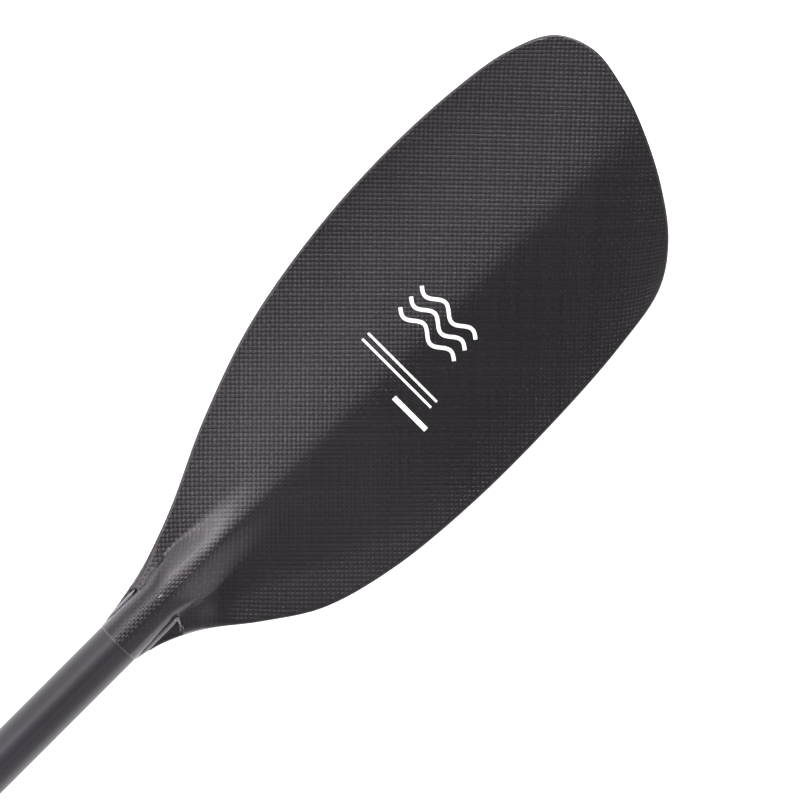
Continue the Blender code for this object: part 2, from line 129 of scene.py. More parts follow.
def finish_named(name, **values):
    """A new material: its Principled shader with plain values, and its node tree."""
    made = bpy.data.materials.new(name)
    made.use_nodes = True
    shader = made.node_tree.nodes["Principled BSDF"]
    for socket, value in values.items():
        shader.inputs[socket.replace("_", " ")].default_value = value
    return made, made.node_tree, shader


def feed(tree, shader, **links):
    """Links into the shader's sockets."""
    for socket, source in links.items():
        tree.links.new(source, shader.inputs[socket.replace("_", " ")])


def mixed(tree, share, first, second):
    """A mix of two colours, each a hex code or another node's colour."""
    pair = [colour(value) if isinstance(value, str) else value for value in (first, second)]
    return add(tree, "ShaderNodeMix", {"Factor": share, 6: pair[0], 7: pair[1]},
               data_type="RGBA").outputs[2]


def noise(tree, scale, detail, **where):
    """A cloud of values between 0 and 1."""
    return add(tree, "ShaderNodeTexNoise", {"Scale": scale, "Detail": detail, **where}).outputs[0]


def relief(tree, height, depth_mm, strength):
    """A surface that rises with the height."""
    return add(tree, "ShaderNodeBump", {
        "Height": height, "Distance": depth_mm * MM, "Strength": strength}).outputs[0]

# %% [markdown]
# A blade's shape is a few lists: its outline as points that a smooth curve runs through, and
# how its spoon, ridge and rib change from the socket to the tip. Two kinds of curve read them:
# one passes through points in the plane, and one follows a table without overshooting.

# %% Curves
def along(table, place):
    """Value of a table of (place, value) points, joined by a curve that never overshoots."""
    if place <= table[0][0]:
        return table[0][1]
    if place >= table[-1][0]:
        return table[-1][1]
    slopes = [(b[1] - a[1]) / (b[0] - a[0]) for a, b in zip(table, table[1:])]
    tangents = [slopes[0]]
    for before, after in zip(slopes, slopes[1:]):
        tangents.append(0.0 if before * after <= 0 else 2 * before * after / (before + after))
    tangents.append(slopes[-1])
    span = max(index for index in range(len(slopes)) if table[index][0] <= place)
    width = table[span + 1][0] - table[span][0]
    u = (place - table[span][0]) / width
    start, end = table[span][1], table[span + 1][1]
    return (start * (1 + 2 * u) * (1 - u) ** 2 + end * u * u * (3 - 2 * u)
            + tangents[span] * width * u * (1 - u) ** 2 - tangents[span + 1] * width * u * u * (1 - u))


def ease(value, low, high):
    """0 below low, 1 above high, and a smooth step between."""
    share = min(max((value - low) / (high - low), 0.0), 1.0)
    return share * share * (3 - 2 * share)


def spline(points, steps):
    """Centripetal Catmull-Rom curve through the points."""
    points = [Vector(point) for point in points]
    points = [2 * points[0] - points[1]] + points + [2 * points[-1] - points[-2]]
    curve = []
    for a, b, c, d in zip(points, points[1:], points[2:], points[3:]):
        t1 = math.sqrt((b - a).length)
        t2 = t1 + math.sqrt((c - b).length)
        t3 = t2 + math.sqrt((d - c).length)
        for step in range(steps):
            t = t1 + (t2 - t1) * step / steps
            ab = a.lerp(b, t / t1)
            bc = b.lerp(c, (t - t1) / (t2 - t1))
            cd = c.lerp(d, (t - t2) / (t3 - t2))
            curve.append(ab.lerp(bc, t / t2).lerp(bc.lerp(cd, (t - t1) / (t3 - t1)), (t - t1) / (t2 - t1)))
    return curve + [points[-2]]

# %% The blade's outline
OUTLINE = [
    (0, 15.9), (20, 18.6), (48, 24.8), (85, 38.3), (140, 64.0), (205, 87.2), (275, 100.0),
    (345, 104.3), (412, 101.0), (455, 93.2), (482, 79.3), (493, 55.0), (489, 24.0),
    (478, -7.5), (461, -40.6), (440, -68.5), (414, -86.8), (370, -95.3), (300, -100.2),
    (225, -100.0), (160, -93.2), (110, -79.0), (75, -56.5), (45, -33.5), (20, -21.0),
    (0, -15.9),
]
LONG_CORNER, SHORT_CORNER = 10, 16
CURVE_STEPS = 12
RIM = spline(OUTLINE, CURVE_STEPS)


def inset_rim(depth):
    """The rim moved inwards, split into its long side, tip and short side."""
    moved = []
    for index, point in enumerate(RIM):
        ahead = RIM[min(index + 1, len(RIM) - 1)] - RIM[max(index - 1, 0)]
        inwards = Vector((ahead.y, -ahead.x)).normalized()
        moved.append(point + inwards * depth if 0 < index < len(RIM) - 1 else point.copy())
    first, second = LONG_CORNER * CURVE_STEPS, SHORT_CORNER * CURVE_STEPS
    return moved[:first + 1], moved[first:second + 1][::-1], moved[second:][::-1]


rim_points = KDTree(len(RIM))
for index, rim_point in enumerate(RIM):
    rim_points.insert(rim_point.to_3d(), index)
rim_points.balance()


def rim_distance(point):
    """How far a point of the blade's plan is from its rim."""
    _, index, best = rim_points.find(point.to_3d())
    for first, second in zip(RIM[max(index - 1, 0):index + 1], RIM[max(index, 1):index + 2]):
        side = second - first
        share = min(max((point - first).dot(side) / side.length_squared, 0), 1)
        best = min(best, (point - first - side * share).length)
    return best


print("outline length", round(sum((b - a).length for a, b in zip(RIM, RIM[1:]))), "mm")

# %% [markdown]
# The faces are surfaces by formula. A shared middle surface carries the spoon, a shallow roof
# shape on both sides of the ridge, and lifted rims. On it each face has a crown that starts as
# the round neck and melts into a ridge in front or a rib behind. A moulded neck also keeps a thin
# flange beside the tube, where the two halves were pressed together. It ends at a step.

# %% The blade's surfaces
EDGE_HALF = 1.7
SKIN = 0.9
NECK_RADIUS = 15.75
NECK_END, RIDGE_START = 36.0, 50.0
SPOON = [(0, 0.0), (30, 0.0), (240, -19.0), (493, 6.0)]
EDGE_LIFT = [(46, 0.0), (150, 1.0), (300, 1.8), (493, 1.5)]
DIHEDRAL = [(46, 0.0), (120, 1.5), (250, 4.0), (493, 4.5)]
CREST_ROUND = 8.0
BELLY = [(60, 0.0), (150, 1.1), (260, 1.5), (400, 1.0), (493, 0.4)]
RIDGE = {
    "height": [(36, 14.05), (48, 12.9), (60, 10.5), (75, 7.0), (95, 3.2), (120, 0.9), (150, 0.0)],
    "width": [(36, 16.0), (48, 17.2), (60, 18.5), (75, 19.0), (95, 19.0), (150, 20.0)],
    "flare": [(36, 0.5), (55, 0.56), (75, 1.1), (95, 1.9), (150, 2.0)],
}
RIB = {
    "height": [(36, 14.05), (60, 11.6), (100, 6.6), (150, 2.8), (200, 0.7), (260, 0.1), (493, 0.1)],
    "width": [(36, 16.0), (60, 20.0), (100, 30.0), (200, 40.0), (493, 46.0)],
    "flare": [(36, 0.5), (60, 0.95), (100, 2.0)],
}
ROOF_HEIGHT = [(36, 0.0), (60, 1.5), (95, 3.4), (150, 4.6), (250, 4.5), (400, 3.0), (493, 0.5)]
ROOF_WIDTH = [(36, 20.0), (48, 24.0), (60, 28.0), (100, 44.0), (150, 67.0), (200, 84.0), (260, 96.0),
              (400, 90.0), (493, 80.0)]
ROOF_POWER, ROOF_FLARE = 1.2, 1.15   # the roof's slope near the ridge and near the rim
FLANGE_END = {1: (31.5, 0.0), -1: (38.4, 0.57)}     # where each side's flange stops, and its slant
FLANGE_FOOT = 16.0                   # the flange starts this far from the axis
STEP_RISE = 3.2                      # height of the step there
STEP_LENGTH = 1.8
STEP_FADE = (8, 42)                  # the step fades out between these distances ahead of it
FILLET = 2.2                         # resin fillet between tube and flange
RIM_ROUND = 1.5                      # rounding of the skins' rims


def middle(station, across):
    """Height of the blade's middle surface."""
    lift = along(EDGE_LIFT, station) * abs(across / 100) ** 3
    fall = along(DIHEDRAL, station) * (math.hypot(across, CREST_ROUND) - CREST_ROUND) / 100
    return along(SPOON, station) + lift - fall


def swell(shape, station, across):
    """Extra thickness that slopes from the ridge to the rim in front, and bellies out behind."""
    share = min(abs(across) / along(ROOF_WIDTH, station), 1)
    if shape is RIDGE:
        return along(ROOF_HEIGHT, station) * (1 - share ** ROOF_POWER) ** ROOF_FLARE
    return along(BELLY, station) * math.sin(math.pi * share) ** 2


def soft_max(first, second, blend):
    """The larger of two heights, with a fillet of about the blend's size where they meet."""
    near = max(blend - abs(first - second), 0) / blend
    return max(first, second) + near * near * blend / 4


def shoulder(station, across, distance):
    """The body's step at the end of the flange, rounded down to the rim and fading forwards."""
    start, slant = FLANGE_END[1 if across > 0 else -1]
    start -= slant * max(abs(across) - FLANGE_FOOT, 0)
    fade = 1 - ease(station, start + STEP_FADE[0], start + STEP_FADE[1])
    rise = ease(station, start, start + STEP_LENGTH) * fade
    slope = 0.7 + min(distance, 14) / 16
    return STEP_RISE * rise * slope * (1 - max(1 - distance / 3, 0) ** 2)


def crown(shape, station, across, inset, distance):
    """Thickness of one face above the middle surface."""
    rim = EDGE_HALF - inset
    radius = NECK_RADIUS - inset
    flange = rim + shoulder(station, across, distance)
    neck = math.sqrt(max(radius ** 2 - across ** 2, 0))
    share = min(abs(across) / along(shape["width"], station), 1)
    bump = along(shape["height"], station) * (1 - share ** 2) ** along(shape["flare"], station)
    ridge = rim + bump + swell(shape, station, across)
    tube = soft_max(neck, flange, FILLET)
    body = soft_max(ridge, flange, FILLET)
    height = tube + (body - tube) * ease(station, NECK_END, RIDGE_START)
    rounding = 0 if inset else max(RIM_ROUND - distance, 0)
    return height - (RIM_ROUND - math.sqrt(RIM_ROUND ** 2 - rounding ** 2))


for place in (20, 60, 100, 240, 400):
    print("station", place, "ridge stands", round(crown(RIDGE, place, 0, 0, 15), 1), "mm proud")

# %% [markdown]
# A face is a grid: rows run across the blade, closer together by the neck where the detail is,
# and columns run from the ridge to both rims. On the neck the columns follow its circle, on the
# blade its width. The last rows bend into the tip's curve, so that no row pinches.

# %% The grid of a face
STRAIGHT_END, TIP_START, LAST = 150.0, 250.0, 448.0
stations = [1.2 * step for step in range(50)] + [60 + 2.5 * step for step in range(36)]
stations += [150 + 4.0 * step for step in range(73)] + [LAST - gap for gap in (5, 3, 1.7, 0.8, 0)]
NECK_ANGLES = [6 * step for step in range(14)]
FLANGE_COLUMNS = [0.12, 0.25, 0.38, 0.52, 0.66, 0.78, 0.88, 0.95, 1.0]
RIM_GAPS = [7, 4.5, 2.6, 1.4, 0.7, 0]
INNER_COLUMNS = len(NECK_ANGLES) + len(FLANGE_COLUMNS) + 1 - len(RIM_GAPS)
CROWDING = 1.15                      # above 1, columns crowd towards the ridge
RIM_INSET = 0.35                     # the skins stop short of the rim, where the band shows


def column_shares(station, reach):
    """Columns from ridge to rim, as shares of the reach."""
    foot = math.degrees(math.acos(EDGE_HALF / NECK_RADIUS))
    neck = [NECK_RADIUS * math.sin(math.radians(angle)) / reach for angle in NECK_ANGLES + [foot]]
    neck += [neck[-1] + (1 - neck[-1]) * share for share in FLANGE_COLUMNS]
    blade = [(1 - RIM_GAPS[0] / reach) * (column / INNER_COLUMNS) ** CROWDING
             for column in range(INNER_COLUMNS)]
    blade += [1 - gap / reach for gap in RIM_GAPS]
    blend = ease(station, NECK_END, 100)
    return [tube + (flat - tube) * blend for tube, flat in zip(neck, blade)]


def tip_at(tip, share):
    """Point of the tip's curve at a share of its length, from the short side."""
    lengths = [(second - first).length for first, second in zip(tip, tip[1:])]
    left = share * sum(lengths)
    for first, second, length in zip(tip, tip[1:], lengths):
        if left <= length:
            return first.lerp(second, left / length)
        left -= length
    return tip[-1]


def side_at(side, station):
    """Point of one side of the rim at a distance from the socket."""
    for first, second in zip(side, side[1:]):
        if second.x >= station:
            return first.lerp(second, (station - first.x) / (second.x - first.x))
    return side[-1]


def plan_grid():
    """Rows of (station, across) points that cover the blade's plan."""
    long_side, tip, short_side = inset_rim(RIM_INSET)
    rows = []
    for station in stations:
        turn = max((station - STRAIGHT_END) / (LAST - STRAIGHT_END), 0) ** 2
        spread = (long_side[-1].x - LAST) * turn
        long_rim = side_at(long_side, station + spread)
        short_rim = side_at(short_side, station - (LAST - short_side[-1].x) * turn)
        bend = max((station - TIP_START) / (LAST - TIP_START), 0) ** 2
        ridge = -short_rim.y / (long_rim.y - short_rim.y)
        shares = [ridge - ridge * share for share in reversed(column_shares(station, -short_rim.y)[1:])]
        shares += [ridge + (1 - ridge) * share for share in column_shares(station, long_rim.y)]
        row = []
        for share in shares:
            straight = short_side[-1].lerp(long_side[-1], share)
            row.append(short_rim.lerp(long_rim, share) + bend * (tip_at(tip, share) - straight))
        rows.append(row)
    return rows


plan = plan_grid()
distances = [[rim_distance(point) for point in row] for row in plan]
RIDGE_COLUMN = len(plan[0]) // 2
print("blade grid", len(plan), "rows by", len(plan[0]), "columns")

# %% [markdown]
# Each skin becomes one closed shell: the outer surface, the same surface 0.9 mm further in, and
# a wall round the rim. The cloth's coordinates are stored on the points as lengths measured over
# the surface, so that the weave drapes round the neck like real cloth and isn't projected on it.

# %% Skins
CREST_RELIEF = 1.8                   # extra relief of the weave on the neck's crest
LEAST_SKIN = 0.3                     # the skin is never thinner than this


def skin_points(shape, side, inset):
    """Points of one face, and how far each lies along and across the cloth."""
    points, cloth = [], []
    for row, gaps in zip(plan, distances):
        placed = []
        for place, gap in zip(row, gaps):
            rise = crown(shape, place.x, place.y, inset, gap)
            if inset:
                outer = crown(shape, place.x, place.y, 0, gap)
                rise = min(rise, outer - LEAST_SKIN)
            height = middle(place.x, place.y) + side * rise
            placed.append(Vector((MOUTH + place.x, place.y, height)))
        across = [0.0] * len(placed)
        for step in range(RIDGE_COLUMN + 1, len(placed)):
            across[step] = across[step - 1] + (placed[step] - placed[step - 1]).length
        for step in range(RIDGE_COLUMN - 1, -1, -1):
            across[step] = across[step + 1] - (placed[step] - placed[step + 1]).length
        points += placed
        cloth += [(point.x - MOUTH, reach) for point, reach in zip(placed, across)]
    return points, cloth


def sheet_faces(rows, columns):
    """Quads of an upper and a lower grid of points, and of the wall round them."""
    below = rows * columns
    faces = []
    for row in range(rows - 1):
        for column in range(columns - 1):
            near = row * columns + column
            quad = (near, near + columns, near + columns + 1, near + 1)
            faces += [quad, tuple(corner + below for corner in reversed(quad))]
    border = [column for column in range(columns)]
    border += [row * columns + columns - 1 for row in range(1, rows)]
    border += [(rows - 1) * columns + column for column in range(columns - 2, -1, -1)]
    border += [row * columns for row in range(rows - 2, 0, -1)]
    for first, second in zip(border, border[1:] + border[:1]):
        faces.append((first, second, second + below, first + below))
    return faces


def strip_faces(rings, corners):
    """Quads between rings of corners that follow each other, with a face at both ends."""
    last = (rings - 1) * corners
    faces = [tuple(range(corners)), tuple(range(last, last + corners))]
    for near in range(0, last, corners):
        for corner in range(corners):
            after = (corner + 1) % corners
            faces.append((near + corner, near + after, near + corners + after, near + corners + corner))
    return faces


def sided(points, way):
    """Points of the right half, or with way -1 their mirror image on the left half."""
    return [Vector((way * point.x, point.y, point.z)) for point in points]


def shape_object(name, points, faces, finish, sharp_deg=35):
    """A closed mesh object from points in millimetres about the shaft's axis."""
    mesh = bpy.data.meshes.new(name)
    mesh.from_pydata([Vector(point) * MM + Vector((0, 0, AXIS_Z)) for point in points], [], faces)
    work = bmesh.new()
    work.from_mesh(mesh)
    bmesh.ops.recalc_face_normals(work, faces=work.faces)
    work.to_mesh(mesh)
    work.free()
    mesh.shade_smooth()
    mesh.set_sharp_from_angle(angle=math.radians(sharp_deg))
    mesh.materials.append(finish)
    made = bpy.data.objects.new(name, mesh)
    bpy.context.collection.objects.link(made)
    return made


def fitted(piece, node, body):
    """The finished piece takes a node's place and its body."""
    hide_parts(node)
    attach(piece, body)
    print(piece.name, len(piece.data.polygons), "faces")


def resin_film(station, across):
    """How far resin drowns the weave beside the neck's crest; on the crest, tows stand proud."""
    if across > 0:
        film = ease(across, 5.0, 7.5) * (1 - ease(across, 12.5, 16.0)) * (1 - ease(station, 84, 104))
    else:
        film = ease(-across, 4.0, 8.0) * (1 - ease(-across, 30, 50)) * (1 - ease(station, 60, 110))
    proud = (1 - ease(abs(across - 1.5), 2.5, 5.0)) * (1 - ease(station, 70, 100))
    return 0.9 * film - CREST_RELIEF * proud


def blade_skins(finish):
    """Both faces of both blades, in place of the plain ones."""
    faces = sheet_faces(len(plan), len(plan[0]))
    for label, shape, side in (("power_face", RIDGE, 1), ("back_face", RIB, -1)):
        outer, cloth = skin_points(shape, side, 0)
        inner, _ = skin_points(shape, side, SKIN)
        for hand, way in HANDS:
            skin = shape_object(hand + "_" + label + "_skin", sided(outer + inner, way), faces, finish)
            lies = [value for length, reach in cloth for value in (way * length * MM, reach * MM, 0)]
            films = [resin_film(*place) if side > 0 else 0 for place in cloth]
            skin.data.attributes.new("cloth", "FLOAT_VECTOR", "POINT").data.foreach_set("vector", lies * 2)
            skin.data.attributes.new("resin", "FLOAT", "POINT").data.foreach_set("value", films * 2)
            fitted(skin, hand + "_" + label, hand + "_half")

# %% [markdown]
# Between the skins lies a core of rigid foam, milled to the blade's shape. It never shows, but it
# is modelled from the same formulas so that nothing cuts through anything else.

# %% Foam cores
FIT = 0.3                            # clearance between pieces
CORE_START = 52.0
TIP_ROWS = 4                         # rows of the grid that the core leaves out at the tip


def blade_cores(finish):
    """A foam core in each blade, 0.3 mm clear of both skins."""
    first = next(row for row, station in enumerate(stations) if station >= CORE_START)
    edge = len(RIM_GAPS)
    inside = [row[edge:-edge] for row in plan[first:-TIP_ROWS]]
    gaps = [row[edge:-edge] for row in distances[first:-TIP_ROWS]]
    faces = sheet_faces(len(inside), len(inside[0]))
    layers = []
    for shape, side in ((RIDGE, 1), (RIB, -1)):
        for row, room in zip(inside, gaps):
            for place, gap in zip(row, room):
                rise = crown(shape, place.x, place.y, SKIN, gap) - FIT
                layers.append(Vector((MOUTH + place.x, place.y, middle(place.x, place.y) + side * rise)))
    for hand, way in HANDS:
        core = shape_object(hand + "_foam_core_milled", sided(layers, way), faces, finish)
        fitted(core, hand + "_foam_core", hand + "_half")

# %% [markdown]
# The two skins are trimmed together after moulding and their edge is sealed with a bead of
# resin, sanded round. It shows as a thin dark line round the blade.

# %% Edge bands
BAND_SECTION = [(0.35, 0.65), (0.3, 0.95), (0.12, 0.8), (0.0, 0.4), (0.0, -0.4), (0.12, -0.8), (0.3, -0.95),
                (0.35, -0.65)]
BAND_START = 9.0
BAND_ROOT, BAND_HALF = 0.45, 0.65    # how deep the band reaches in, and half its height there


def edge_bands(finish):
    """A rounded bead round each blade, from one side of the neck to the other."""
    kept = [index for index, point in enumerate(RIM) if point.x >= BAND_START and 0 < index < len(RIM) - 1]
    points = []
    for index in kept:
        point = RIM[index]
        ahead = RIM[index + 1] - RIM[index - 1]
        inwards = Vector((ahead.y, -ahead.x)).normalized()
        root = BAND_ROOT + 2.0 * ease(point.x, BAND_START, 45)
        level = middle(point.x, point.y)
        for depth, height in [(root, BAND_HALF)] + BAND_SECTION + [(root, -BAND_HALF)]:
            place = point + inwards * depth
            points.append(Vector((MOUTH + place.x, place.y, level + height)))
    faces = strip_faces(len(kept), len(BAND_SECTION) + 2)
    for hand, way in HANDS:
        band = shape_object(hand + "_edge_band_sanded", sided(points, way), faces, finish)
        fitted(band, hand + "_edge_band", hand + "_half")

# %% [markdown]
# The cloth is a plain weave of 2.9 mm carbon tows, laid at 45 degrees to the shaft and soaked in
# clear epoxy. It is drawn in its own coordinates: turned by 45 degrees and counted in tows, every
# whole square is one crossing. A crossing is a small pillow, because the upper tow bends over the
# lower one, and the corner between four pillows is a pool of resin with no fibre under it.
# Carbon fibre is a dark grey semi-metal, so all of its light is reflection: the base colour says
# how much a tow reflects, and each tow gets a slightly different grey.

# %% Carbon weave
TOW = 2.9 * MM                       # tow spacing of the cloth
CROWN = 0.22                         # millimetres that a tow's crown stands above the resin pools
FIBRE_RELIEF = 0.04                  # relief of single bundles, as a share of the crown
FIBRES_PER_TOW = 14.0                # real tows have thousands; these are bundles that show
CARBON_DARK = "#2d2b2e"
CARBON_LIGHT = "#474247"
RESIN_POOL = "#141315"


def carbon_weave():
    """Plain-weave carbon cloth in clear epoxy, pressed in a mould."""
    made, tree, shader = finish_named(
        "carbon_plain_weave_moulded", Metallic=1.0, Roughness=0.27, Anisotropic=0.3,
        Coat_Weight=0.5, Coat_Roughness=0.06, Coat_IOR=1.5)

    def maths(operation, *values):
        return add(tree, "ShaderNodeMath", dict(enumerate(values)), operation=operation).outputs[0]

    def vectors(operation, *values):
        return add(tree, "ShaderNodeVectorMath", dict(enumerate(values)), operation=operation).outputs[0]

    cloth = add(tree, "ShaderNodeAttribute", attribute_name="cloth").outputs["Vector"]
    in_tows = add(tree, "ShaderNodeMapping", {
        "Vector": cloth, "Rotation": (0, 0, math.radians(45)), "Scale": (1 / TOW,) * 3}).outputs[0]
    tow = add(tree, "ShaderNodeSeparateXYZ", {0: in_tows}).outputs

    # Crossings: which family of tows is on top, and the pillow's height from 0 to 1.
    upper = maths("FLOORED_MODULO", maths("ADD", maths("FLOOR", tow[0]), maths("FLOOR", tow[1])), 2.0)
    arches = [maths("SINE", maths("MULTIPLY", maths("FRACT", tow[axis]), math.pi)) for axis in (0, 1)]
    pillow = maths("MULTIPLY", maths("ADD", *arches), 0.5)
    corner = maths("SMOOTH_MIN", maths("MULTIPLY", maths("ADD", *arches), 1.25), 1.0, 0.3)

    # Fibre bundles run along the tow on top.
    swapped = add(tree, "ShaderNodeCombineXYZ", {0: tow[1], 1: tow[0]}).outputs[0]
    lie = add(tree, "ShaderNodeMix", {"Factor": upper, 4: in_tows, 5: swapped},
              data_type="VECTOR").outputs[1]
    bundles = add(tree, "ShaderNodeMapping", {
        "Vector": lie, "Scale": (0.6, FIBRES_PER_TOW, 1.0)}).outputs[0]
    fibres = noise(tree, 1.0, 2.0, Vector=bundles)
    lane = maths("FLOOR", add(tree, "ShaderNodeSeparateXYZ", {0: lie}).outputs[1])
    which = add(tree, "ShaderNodeCombineXYZ", {0: lane, 1: upper}).outputs[0]
    tint = add(tree, "ShaderNodeTexWhiteNoise", {"Vector": which}, noise_dimensions="2D").outputs["Value"]
    drift = noise(tree, 14.0, 2.0, Vector=cloth)

    shade = maths("ADD", maths("MULTIPLY", tint, 0.3), maths("MULTIPLY", fibres, 0.35))
    shade = maths("ADD", shade, maths("MULTIPLY", drift, 0.35))
    pooled = mixed(tree, corner, RESIN_POOL, mixed(tree, shade, CARBON_DARK, CARBON_LIGHT))

    film = add(tree, "ShaderNodeAttribute", attribute_name="resin").outputs["Fac"]
    height = maths("ADD", pillow, maths("MULTIPLY", fibres, FIBRE_RELIEF))
    bump = relief(tree, height, CROWN, maths("SUBTRACT", 1.0, film))

    # The reflection spreads across the fibres, so the tangent turns where the other tow is on top.
    normal = add(tree, "ShaderNodeNewGeometry").outputs["Normal"]
    across = vectors("CROSS_PRODUCT", normal, (1, 0, 0))
    ahead = vectors("CROSS_PRODUCT", across, normal)
    side = maths("SUBTRACT", 1.0, maths("MULTIPLY", upper, 2.0))
    turned_across = add(tree, "ShaderNodeVectorMath", {0: across, "Scale": side},
                        operation="SCALE").outputs[0]
    spread = vectors("ADD", ahead, turned_across)
    feed(tree, shader, Base_Color=pooled, Normal=bump, Tangent=spread)
    return made


weave = carbon_weave()
blade_skins(weave)

# %% [markdown]
# Round pieces are turned: a profile of (place along the shaft, radius) points swept round the
# axis in fine steps.

# %% Turning
TURN_SIDES = 96


def turned(name, profile, finish, ring=True, sides=TURN_SIDES):
    """A profile of (x, radius) points swept round the shaft's axis."""
    points, rows = [], []
    for x, radius in profile:
        count = 1 if radius == 0 else sides
        rows.append(range(len(points), len(points) + count))
        for step in range(count):
            angle = 2 * math.pi * step / sides
            points.append(Vector((x, radius * math.cos(angle), radius * math.sin(angle))))
    pairs = list(zip(rows, rows[1:])) + ([(rows[-1], rows[0])] if ring else [])
    faces = []
    for first, second in pairs:
        for step in range(sides):
            after = (step + 1) % sides
            corners = [first[step % len(first)], first[after % len(first)],
                       second[after % len(second)], second[step % len(second)]]
            faces.append(tuple(dict.fromkeys(corners)))
    return shape_object(name, points, faces, finish)


def arc(centre, radius, first_deg, last_deg, steps):
    """Points along an arc, both ends included."""
    angles = [math.radians(first_deg + (last_deg - first_deg) * step / steps) for step in range(steps + 1)]
    return [(centre[0] + radius * math.cos(a), centre[1] + radius * math.sin(a)) for a in angles]


def circle(centre, radius, sides):
    """Points of a whole circle."""
    return arc(centre, radius, 0, 360, sides)[:-1]

# %% [markdown]
# Where the tube of the neck meets the flange, the moulder runs a bead of thickened epoxy along
# the corner with a gloved finger. It cures glossy and slightly milky. It is drawn as a round bead
# that follows the corner and, on the short side, hooks outwards along the step. A thin ring of
# the same resin seals the mouth of the socket against the shaft.

# %% Resin beads
def cured_epoxy(name, dark, light):
    """Thickened epoxy, cured glossy: a little light passes in, so it looks milky grey."""
    made, tree, shader = finish_named(
        name, Roughness=0.18, IOR=1.55, Coat_Weight=0.5, Coat_Roughness=0.05,
        Subsurface_Weight=0.15, Subsurface_Radius=(0.002, 0.0016, 0.002))
    cloud = noise(tree, 260.0, 3.0)
    feed(tree, shader, Base_Color=mixed(tree, cloud, dark, light), Normal=relief(tree, cloud, 0.15, 0.6))
    return made


def front(station, across):
    """Height of the power face."""
    gap = rim_distance(Vector((station, across)))
    return middle(station, across) + crown(RIDGE, station, across, 0, gap)


def bead(name, path, radii, finish, sides=12):
    """A round bead of changing radius along a path of points, closed at both ends."""
    points = []
    for index, (centre, radius) in enumerate(zip(path, radii)):
        ahead = (path[min(index + 1, len(path) - 1)] - path[max(index - 1, 0)]).normalized()
        side = ahead.cross(Vector((0, 0, 1))).normalized()
        rise = side.cross(ahead)
        for step in range(sides):
            angle = 2 * math.pi * step / sides
            points.append(centre + radius * (math.cos(angle) * side + math.sin(angle) * rise))
    return shape_object(name, points, strip_faces(len(path), sides), finish, sharp_deg=60)


def corner_path(turns, steps=8):
    """Points in the neck's corner from (station, across, height above the middle) points."""
    return [Vector((MOUTH + point.x, point.y, middle(point.x, point.y) + point.z))
            for point in spline(turns, steps)]


BEADS = {
    "short_side": ([(3, -15.5, 1.1), (12, -15.7, 1.6), (22, -15.8, 1.8), (31, -15.9, 2.0),
                    (37.8, -16.1, 2.9), (38.4, -18.2, 3.0), (35.6, -22.0, 2.3)], 1.9),
    "long_side": ([(5, 15.8, 1.4), (14, 16.0, 1.7), (24, 16.2, 1.9), (31.4, 16.8, 2.3)], 1.35),
}
SEAL_BACK, SEAL_RADIUS, SEAL_THICKNESS = 0.15, 15.45, 0.45
epoxy = cured_epoxy("thickened_epoxy_cured", "#5f555f", "#857a85")
thin_epoxy = cured_epoxy("thin_epoxy_over_carbon", "#2a252b", "#423b43")
for hand, way in HANDS:
    for label, (turns, radius) in BEADS.items():
        path = sided(corner_path(turns), way)
        last = len(path) - 1
        radii = [radius * min(1, 0.35 + 0.13 * min(index, last - index)) for index in range(last + 1)]
        made = bead(hand + "_neck_bead_" + label, path, radii, epoxy)
        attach(made, hand + "_half")
    section = circle((MOUTH - SEAL_BACK, SEAL_RADIUS), SEAL_THICKNESS, 12)
    seal = turned(hand + "_mouth_seal", [(way * x, radius) for x, radius in section], thin_epoxy)
    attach(seal, hand + "_half")
    print(hand, "beads", len(BEADS))

# %% [markdown]
# The rest of the finishes. The shaft is roll-wrapped carbon, so its fibres run lengthwise and the
# sanded lacquer over them is satin. Fittings are moulded nylon, anodised aluminium and steel.

# %% Shaft finish
def satin_carbon(name, dark, light, roughness):
    """Roll-wrapped carbon under satin lacquer: faint streaks along the shaft."""
    made, tree, shader = finish_named(name, Roughness=roughness, IOR=1.5)
    at_rest = add(tree, "ShaderNodeTexCoord").outputs["Object"]
    long_grain = add(tree, "ShaderNodeMapping", {
        "Vector": at_rest, "Scale": (6.0, 900.0, 900.0)}).outputs[0]
    streaks = noise(tree, 1.0, 3.0, Vector=long_grain)
    drift = noise(tree, 9.0, 2.0, Vector=at_rest)
    both = add(tree, "ShaderNodeMath", {0: streaks, 1: drift}, operation="MULTIPLY").outputs[0]
    share = add(tree, "ShaderNodeMath", {0: both, 1: 2.2}, operation="MULTIPLY").outputs[0]
    sheen = add(tree, "ShaderNodeMapRange", {
        "Value": streaks, "To Min": roughness - 0.05, "To Max": roughness + 0.06}).outputs[0]
    feed(tree, shader, Base_Color=mixed(tree, share, dark, light), Roughness=sheen,
         Normal=relief(tree, streaks, 0.03, 0.5))
    return made


shaft_finish = satin_carbon("carbon_shaft_satin_lacquer", "#17131a", "#2c262f", 0.36)
inner_finish = satin_carbon("carbon_tube_ground", "#161417", "#2b272d", 0.45)

# %% [markdown]
# Foam is a mass of tiny closed cells that scatter light, so it is matt and pale. Cells of 0.4 mm
# are coarser than real ones so that they show up close.

# %% Foam finish
def rigid_foam():
    """Closed-cell polyurethane foam, milled."""
    made, tree, shader = finish_named("rigid_foam_milled", Roughness=0.95)
    cells = add(tree, "ShaderNodeTexVoronoi", {"Scale": 2500.0}).outputs["Distance"]
    feed(tree, shader, Base_Color=mixed(tree, cells, "#b9a878", "#e6dcb4"),
         Normal=relief(tree, cells, 0.2, 0.8))
    return made


foam_finish = rigid_foam()

# %% [markdown]
# Moulded parts take the grain of their mould, metal takes the marks of its tool. One function
# covers both: a fine noise breaks up the colour, the gloss and the surface by small amounts.

